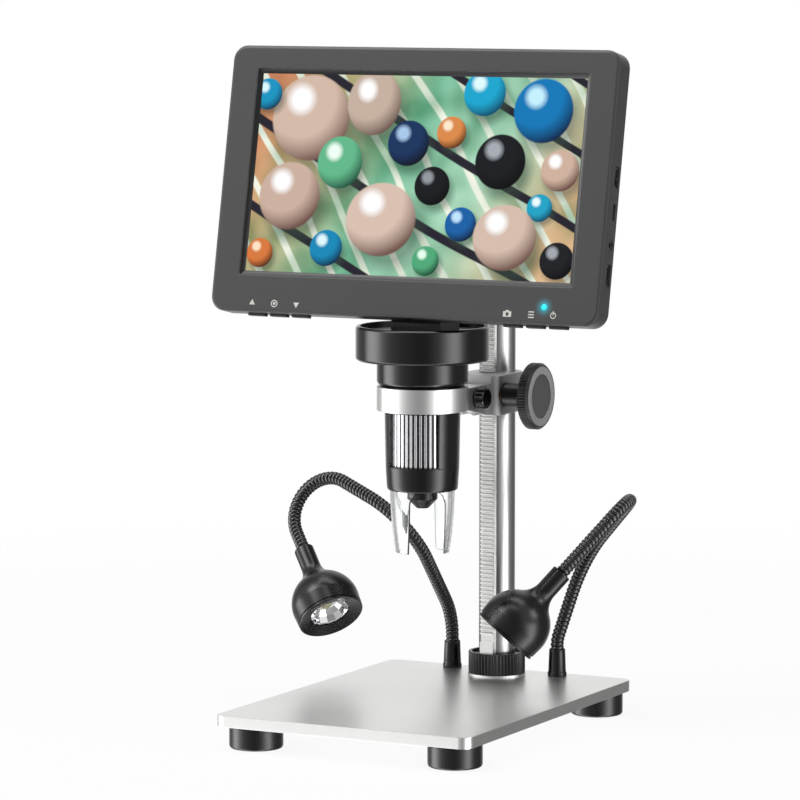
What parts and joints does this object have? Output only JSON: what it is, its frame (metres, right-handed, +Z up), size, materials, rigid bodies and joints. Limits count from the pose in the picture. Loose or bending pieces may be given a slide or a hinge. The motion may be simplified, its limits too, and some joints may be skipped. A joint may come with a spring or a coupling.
{
  "type": "lcd digital microscope",
  "caption": "Desktop digital microscope with a tilting LCD screen above its tube, rack-and-pinion height adjustment, a clear spacer and gooseneck lamps on a metal base plate.",
  "frame": {"origin": "on the table, under the middle of the base plate", "axes": "+Z up, -Y towards the user, who faces the screen, +X to the right of the screen"},
  "size_m": [0.184, 0.1655, 0.2944],
  "materials": {
    "satin_aluminium": "satin, blasted",
    "silver_aluminium": "satin",
    "grey_anodised": "satin, anodised",
    "black_anodised": "satin, anodised",
    "rack_steel": "milled",
    "zinc_steel": "zinc plated",
    "brass": "turned",
    "black_rubber": "matt",
    "black_plastic": "matt",
    "dark_grey_plastic": "matt",
    "bezel_grey": "satin",
    "gloss_black": "semi-gloss",
    "white_board": "matt",
    "green_board": "satin",
    "grey_wheel": "satin",
    "clear_acrylic": "clear",
    "lens_glass": "clear, coated",
    "display_glass": "gloss",
    "battery_foil": "satin foil",
    "cyan_light": "gloss",
    "black_painted": "satin paint",
    "gooseneck_black": "semi-gloss",
    "lamp_black": "satin paint",
    "reflector_chrome": "mirror",
    "led_lens": "gloss"
  },
  "bodies": {
    "stand": {"base_plate": "satin_aluminium", "rubber_feet": "black_rubber", "foot_screws": "zinc_steel", "column_tube": "satin_aluminium", "toothed_rack": "rack_steel", "column_collar": "black_anodised", "collar_washer": "satin_aluminium", "column_bolt": "zinc_steel", "column_cap": "black_plastic", "left_lamp_socket": "black_anodised", "right_lamp_socket": "black_anodised"},
    "carriage": {"carriage_block": "grey_anodised", "tube_clamp": "silver_aluminium", "clamp_arm_screws": "zinc_steel", "brake_screw": "zinc_steel", "pinion_bush": "brass"},
    "height_drive": {"pinion_shaft": "zinc_steel", "pinion_gear": "brass", "height_knob": "black_plastic", "knob_face": "grey_anodised", "knob_cap": "dark_grey_plastic"},
    "clamp_screw": {"thumb_screw": "black_anodised"},
    "microscope": {"head_housing": "gloss_black", "head_lid": "black_plastic", "screen_neck": "dark_grey_plastic", "collar_ring": "gloss_black", "barrel_casing": "gloss_black", "front_collar": "gloss_black", "guide_sleeve": "black_anodised", "led_ring": "white_board", "clear_spacer": "clear_acrylic", "sensor_board": "green_board"},
    "focus_drive": {"focus_wheel": "grey_wheel"},
    "lens_unit": {"lens_barrel": "black_anodised", "objective_lens": "lens_glass"},
    "screen": {"front_bezel": "bezel_grey", "rear_cover": "black_plastic", "lcd_panel": "display_glass", "main_board": "green_board", "battery_pack": "battery_foil", "power_light": "cyan_light", "port_sockets": "zinc_steel", "rear_screws": "zinc_steel", "hinge_bracket": "black_painted", "hinge_pin": "zinc_steel"},
    "up_key": {"up_button": "black_plastic"},
    "ok_key": {"ok_button": "black_plastic"},
    "down_key": {"down_button": "black_plastic"},
    "photo_key": {"photo_button": "black_plastic"},
    "menu_key": {"menu_button": "black_plastic"},
    "power_key": {"power_button": "black_plastic"},
    "left_lamp": {"left_gooseneck": "gooseneck_black", "left_lamp_head": "lamp_black", "left_reflector": "reflector_chrome", "left_led": "led_lens"},
    "right_lamp": {"right_gooseneck": "gooseneck_black", "right_lamp_head": "lamp_black", "right_reflector": "reflector_chrome", "right_led": "led_lens"}
  },
  "joints": [
    {"name": "height_slide", "type": "slide", "parent": "stand", "child": "carriage", "axis": [0, 0, 1], "range_m": [-0.06, 0.11]},
    {"name": "height_knob_turn", "type": "hinge", "parent": "carriage", "child": "height_drive", "pos_m": [0, 0.05334, 0.1417], "axis": [1, 0, 0], "range_deg": [-1502, 820]},
    {"name": "clamp_screw_turn", "type": "hinge", "parent": "carriage", "child": "clamp_screw", "pos_m": [0, 0.0345, 0.1417], "axis": [1, 0, 0], "range_deg": [0, 270]},
    {"name": "tube_swivel", "type": "hinge", "parent": "carriage", "child": "microscope", "pos_m": [0, -0.0054, 0.145], "axis": [0, 0, 1], "range_deg": [-45, 45]},
    {"name": "focus_turn", "type": "hinge", "parent": "microscope", "child": "focus_drive", "pos_m": [0, -0.0054, 0.128], "axis": [0, 0, 1], "range_deg": [-135, 135]},
    {"name": "lens_slide", "type": "slide", "parent": "microscope", "child": "lens_unit", "axis": [0, 0, 1], "range_m": [-0.004, 0.004]},
    {"name": "screen_tilt", "type": "hinge", "parent": "microscope", "child": "screen", "pos_m": [0, -0.00054, 0.19086], "axis": [-1, 0, 0], "range_deg": [-5, 15]},
    {"name": "up_press", "type": "slide", "parent": "screen", "child": "up_key", "axis": [0, 0.1977, 0.9803], "range_m": [0, 0.0006], "stiffness_N_per_m": 300, "springref_m": -0.0005},
    {"name": "ok_press", "type": "slide", "parent": "screen", "child": "ok_key", "axis": [0, 0.1977, 0.9803], "range_m": [0, 0.0006], "stiffness_N_per_m": 300, "springref_m": -0.0005},
    {"name": "down_press", "type": "slide", "parent": "screen", "child": "down_key", "axis": [0, 0.1977, 0.9803], "range_m": [0, 0.0006], "stiffness_N_per_m": 300, "springref_m": -0.0005},
    {"name": "photo_press", "type": "slide", "parent": "screen", "child": "photo_key", "axis": [0, 0.1977, 0.9803], "range_m": [0, 0.0006], "stiffness_N_per_m": 300, "springref_m": -0.0005},
    {"name": "menu_press", "type": "slide", "parent": "screen", "child": "menu_key", "axis": [0, 0.1977, 0.9803], "range_m": [0, 0.0006], "stiffness_N_per_m": 300, "springref_m": -0.0005},
    {"name": "power_press", "type": "slide", "parent": "screen", "child": "power_key", "axis": [0, 0.1977, 0.9803], "range_m": [0, 0.0006], "stiffness_N_per_m": 300, "springref_m": -0.0005},
    {"name": "left_lamp_swing", "type": "hinge", "parent": "stand", "child": "left_lamp", "pos_m": [-0.026, 0.0755, 0.02], "axis": [0, 0, 1], "range_deg": [-25, 15]},
    {"name": "right_lamp_swing", "type": "hinge", "parent": "stand", "child": "right_lamp", "pos_m": [0.026, 0.0755, 0.02], "axis": [0, 0, 1], "range_deg": [-5, 25]}
  ],
  "couplings": [
    {"joint": "height_knob_turn", "follows": "height_slide", "rad_per_m": -238.1},
    {"joint": "focus_turn", "follows": "lens_slide", "rad_per_m": 588.24}
  ]
}
